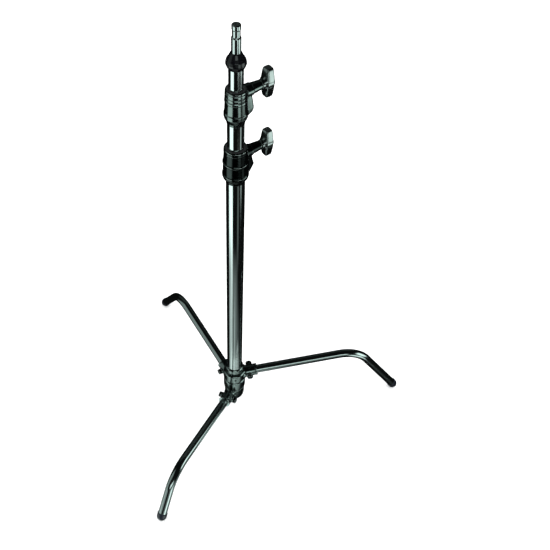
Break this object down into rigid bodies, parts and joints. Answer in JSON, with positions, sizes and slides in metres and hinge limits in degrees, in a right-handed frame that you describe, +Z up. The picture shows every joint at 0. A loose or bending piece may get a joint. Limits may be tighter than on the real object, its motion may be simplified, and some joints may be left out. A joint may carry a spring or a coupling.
{
  "type": "century stand",
  "caption": "Three-section century stand on bent folding tube legs, with wing-knob clamp collars on the column and a 16 mm baby pin on top.",
  "frame": {"origin": "on the column's axis at floor level", "axes": "+Z up along the column to the baby pin; the top leg points 5.5 degrees from +X towards +Y"},
  "size_m": [0.6213, 0.634, 1.067],
  "materials": {
    "plated_tube": "black nickel-chrome plating, mirror bright",
    "plated_leg": "black nickel-chrome plating, mirror bright",
    "plated_pin": "black nickel-chrome plating, worn brighter on the head",
    "lower_collar_casting": "dark plated die casting, satin",
    "upper_collar_casting": "grey plated die casting, satin",
    "hub_casting": "grey plated casting, slightly rough",
    "knob_enamel": "black gloss moulding",
    "cap_plastic": "black gloss moulding",
    "liner_plastic": "black moulded",
    "guide_nylon": "natural nylon",
    "washer_nylon": "black nylon",
    "foot_rubber": "blue-black moulded rubber",
    "fastener_steel": "plain steel",
    "dark_bolt": "black oxide bolt",
    "brake_brass": "turned brass"
  },
  "bodies": {
    "root": {"base_tube": "plated_tube", "base_bumper": "foot_rubber", "base_pin": "fastener_steel", "base_collar": "lower_collar_casting", "base_collar_liner": "liner_plastic", "bottom_leg_casting": "hub_casting", "bottom_leg_tube": "plated_leg", "bottom_leg_foot": "foot_rubber", "bottom_leg_bolt": "dark_bolt", "bottom_leg_nut": "dark_bolt", "lower_hub_washer": "washer_nylon", "upper_hub_washer": "washer_nylon", "hub_wave_spring": "fastener_steel", "hub_stop_collar": "hub_casting", "hub_set_screw": "fastener_steel"},
    "top_leg": {"top_leg_casting": "hub_casting", "top_leg_tube": "plated_leg", "top_leg_foot": "foot_rubber", "top_leg_bolt": "dark_bolt", "top_leg_nut": "dark_bolt", "top_leg_detent": "dark_bolt"},
    "middle_leg": {"middle_leg_casting": "hub_casting", "middle_leg_tube": "plated_leg", "middle_leg_foot": "foot_rubber", "middle_leg_bolt": "dark_bolt", "middle_leg_nut": "dark_bolt", "middle_leg_detent": "dark_bolt"},
    "riser_1_guide": {"riser_1_guide": "guide_nylon"},
    "riser_1": {"riser_1_tube": "plated_tube", "riser_1_plug": "guide_nylon", "riser_collar": "upper_collar_casting", "riser_collar_liner": "liner_plastic"},
    "riser_2_guide": {"riser_2_guide": "guide_nylon"},
    "riser_2": {"riser_2_tube": "plated_tube", "top_cap": "cap_plastic", "spigot": "plated_pin", "spigot_pin": "fastener_steel"},
    "base_lock_pad": {"base_lock_pad": "brake_brass"},
    "base_lock_knob": {"base_lock_knob": "knob_enamel", "base_lock_screw": "fastener_steel"},
    "riser_lock_pad": {"riser_lock_pad": "brake_brass"},
    "riser_lock_knob": {"riser_lock_knob": "knob_enamel", "riser_lock_screw": "fastener_steel"}
  },
  "joints": [
    {"name": "top_leg_fold", "type": "hinge", "parent": "root", "child": "top_leg", "pos_m": [0, 0, 0.125], "axis": [0, 0, 1], "range_deg": [-120, 0]},
    {"name": "middle_leg_fold", "type": "hinge", "parent": "root", "child": "middle_leg", "pos_m": [0, 0, 0.0937], "axis": [0, 0, 1], "range_deg": [0, 115]},
    {"name": "riser_1_slide", "type": "slide", "parent": "root", "child": "riser_1_guide", "axis": [0, 0, 1], "range_m": [0, 0.67]},
    {"name": "riser_1_swivel", "type": "hinge", "parent": "riser_1_guide", "child": "riser_1", "pos_m": [0, 0, 0.06], "axis": [0, 0, 1], "continuous": true},
    {"name": "riser_2_slide", "type": "slide", "parent": "riser_1", "child": "riser_2_guide", "axis": [0, 0, 1], "range_m": [0, 0.76]},
    {"name": "riser_2_swivel", "type": "hinge", "parent": "riser_2_guide", "child": "riser_2", "pos_m": [0, 0, 0.07], "axis": [0, 0, 1], "continuous": true},
    {"name": "base_pad_slide", "type": "slide", "parent": "root", "child": "base_lock_pad", "axis": [0.8141, 0.5807, 0], "range_m": [0, 0.0019]},
    {"name": "base_knob_turn", "type": "hinge", "parent": "base_lock_pad", "child": "base_lock_knob", "pos_m": [0.05536, 0.03949, 0.8105], "axis": [0.8141, 0.5807, 0], "range_deg": [0, 540]},
    {"name": "riser_pad_slide", "type": "slide", "parent": "riser_1", "child": "riser_lock_pad", "axis": [0.8141, 0.5807, 0], "range_m": [0, 0.0019]},
    {"name": "riser_knob_turn", "type": "hinge", "parent": "riser_lock_pad", "child": "riser_lock_knob", "pos_m": [0.0521, 0.03716, 0.9395], "axis": [0.8141, 0.5807, 0], "range_deg": [0, 540]}
  ],
  "couplings": [
    {"joint": "base_pad_slide", "follows": "base_knob_turn", "m_per_rad": 0.00019894},
    {"joint": "riser_pad_slide", "follows": "riser_knob_turn", "m_per_rad": 0.00019894}
  ]
}
